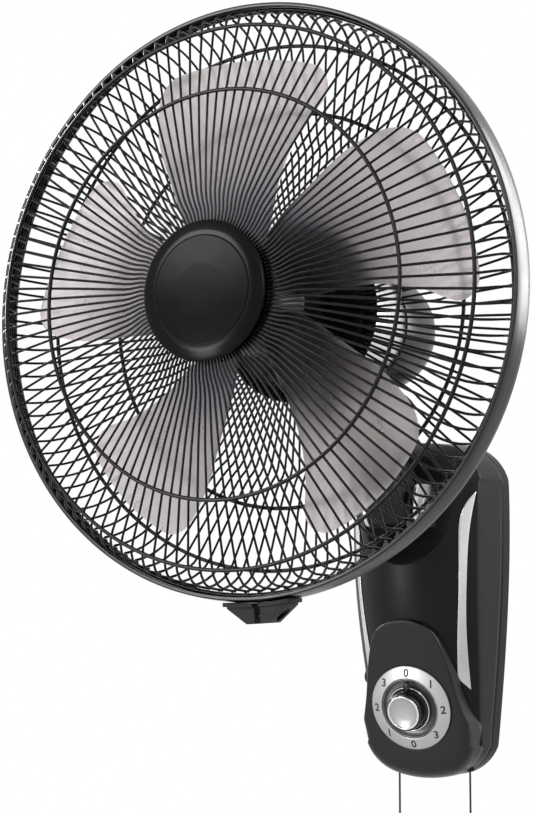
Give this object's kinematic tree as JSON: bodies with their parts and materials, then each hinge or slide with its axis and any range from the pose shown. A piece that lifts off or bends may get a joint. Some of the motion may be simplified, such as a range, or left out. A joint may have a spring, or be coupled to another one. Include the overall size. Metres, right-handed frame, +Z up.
{
  "type": "wall mounted fan",
  "caption": "Wall mounted fan with a round wire guard, translucent blades, swinging and tilting head, tapered housing with a dial, and pull cords with bells.",
  "frame": {"origin": "centre of the wall plate's screw pattern, on the wall's surface", "axes": "+Z up, +Y into the wall, +X to the right for someone who looks at the fan; the blade axis lies along Y at rest"},
  "size_m": [0.4463, 0.4013, 0.7487],
  "materials": {
    "galvanised_steel": "zinc plated sheet steel",
    "black_housing": "satin black moulded plastic",
    "panel_black": "satin black moulded plastic",
    "bright_trim": "bright satin metal sliver",
    "dial_metal": "satin grey metal dial plate",
    "switch_plastic": "plain moulded plastic",
    "black_small_parts": "black moulded plastic",
    "zinc_fixings": "zinc plated steel",
    "washer_plastic": "natural low-friction plastic",
    "black_bracket": "black powder coat",
    "swing_motor_case": "bare pressed can",
    "swing_linkage": "zinc plated steel",
    "motor_black": "black painted pressed steel",
    "motor_silver": "bare satin steel band",
    "lamination_steel": "stacked laminations",
    "copper": "enamelled copper winding",
    "shaft_steel": "ground steel",
    "guard_paint": "glossy black coated wire",
    "hoop_black": "satin to gloss black plastic",
    "cap_black": "glossy black plastic",
    "blade_smoke": "smoky translucent plastic",
    "knob_gloss": "glossy black plastic",
    "knob_silver": "concave silver face",
    "cord_black": "thin braided cord",
    "bell_black": "moulded pull bell"
  },
  "bodies": {
    "base": {"wall_plate": "galvanised_steel", "housing_rear": "black_housing", "housing_front": "black_housing", "control_panel": "panel_black", "trim_left": "bright_trim", "trim_right": "bright_trim", "dial_ring": "dial_metal", "dial_dish": "dial_metal", "speed_switch": "switch_plastic", "swing_switch": "switch_plastic", "capacitor": "switch_plastic", "terminal_block": "switch_plastic", "cable_gland": "black_small_parts", "cord_bushes": "black_small_parts", "housing_screws": "zinc_fixings", "tilt_bracket": "galvanised_steel", "bracket_bolts": "zinc_fixings", "tilt_bolt": "zinc_fixings", "tilt_nut": "zinc_fixings", "tilt_washers": "zinc_fixings"},
    "neck": {"neck_arm": "black_small_parts", "link_pin": "zinc_fixings"},
    "head": {"pivot_pin": "zinc_fixings", "thrust_washer": "washer_plastic", "motor_bracket": "black_bracket", "swing_motor": "swing_motor_case", "motor_front_cover": "motor_black", "motor_band": "motor_silver", "motor_rear_cover": "motor_black", "stator_core": "lamination_steel", "stator_windings": "copper", "bearings": "shaft_steel", "motor_screws": "zinc_fixings", "guard_nut": "black_small_parts", "rear_guard_plate": "guard_paint", "rear_guard_wires": "guard_paint", "rear_guard_rings": "guard_paint", "guard_hoop": "hoop_black", "front_guard_wires": "guard_paint", "front_guard_rings": "guard_paint", "guard_cap": "cap_black", "guard_cap_disc": "cap_black", "cap_backing": "black_small_parts", "hoop_clips": "black_small_parts", "hoop_screw": "zinc_fixings"},
    "swing_crank_body": {"swing_crank": "swing_linkage"},
    "swing_link_body": {"swing_link": "swing_linkage"},
    "rotor": {"rotor_shaft": "shaft_steel", "rotor_core": "lamination_steel", "fan_blades": "blade_smoke", "blade_nut": "black_small_parts"},
    "knob": {"speed_knob": "knob_gloss", "knob_face": "knob_silver", "switch_spindle": "shaft_steel"},
    "speed_pull": {"speed_slider": "shaft_steel", "speed_cord": "cord_black", "speed_bell": "bell_black"},
    "swing_pull": {"swing_slider": "shaft_steel", "swing_cord": "cord_black", "swing_bell": "bell_black"}
  },
  "joints": [
    {"name": "tilt", "type": "hinge", "parent": "base", "child": "neck", "pos_m": [0, -0.092, 0.089], "axis": [1, 0, 0], "range_deg": [-10, 20]},
    {"name": "swing", "type": "hinge", "parent": "neck", "child": "head", "pos_m": [0, -0.155, 0.151], "axis": [0, 0, 1], "range_deg": [-40, 40]},
    {"name": "crank_turn", "type": "hinge", "parent": "head", "child": "swing_crank_body", "pos_m": [0, -0.205, 0.148], "axis": [0, 0, 1], "range_deg": [-90, 90]},
    {"name": "link_turn", "type": "hinge", "parent": "neck", "child": "swing_link_body", "pos_m": [0.03, -0.155, 0.1415], "axis": [0, 0, 1], "range_deg": [-40, 40]},
    {"name": "rotor_spin", "type": "hinge", "parent": "head", "child": "rotor", "pos_m": [0, -0.35, 0.2335], "axis": [0, -1, 0], "continuous": true},
    {"name": "knob_turn", "type": "hinge", "parent": "base", "child": "knob", "pos_m": [0, -0.0647, -0.0833], "axis": [0, -0.9736, -0.2284], "continuous": true},
    {"name": "speed_pull_slide", "type": "slide", "parent": "base", "child": "speed_pull", "axis": [0, 0, -1], "range_m": [0, 0.012], "stiffness_N_per_m": 300, "springref_m": -0.002},
    {"name": "swing_pull_slide", "type": "slide", "parent": "base", "child": "swing_pull", "axis": [0, 0, -1], "range_m": [0, 0.012], "stiffness_N_per_m": 300, "springref_m": -0.002}
  ],
  "couplings": [
    {"joint": "crank_turn", "follows": "swing", "ratio": -2.25},
    {"joint": "link_turn", "follows": "swing", "ratio": 1}
  ]
}
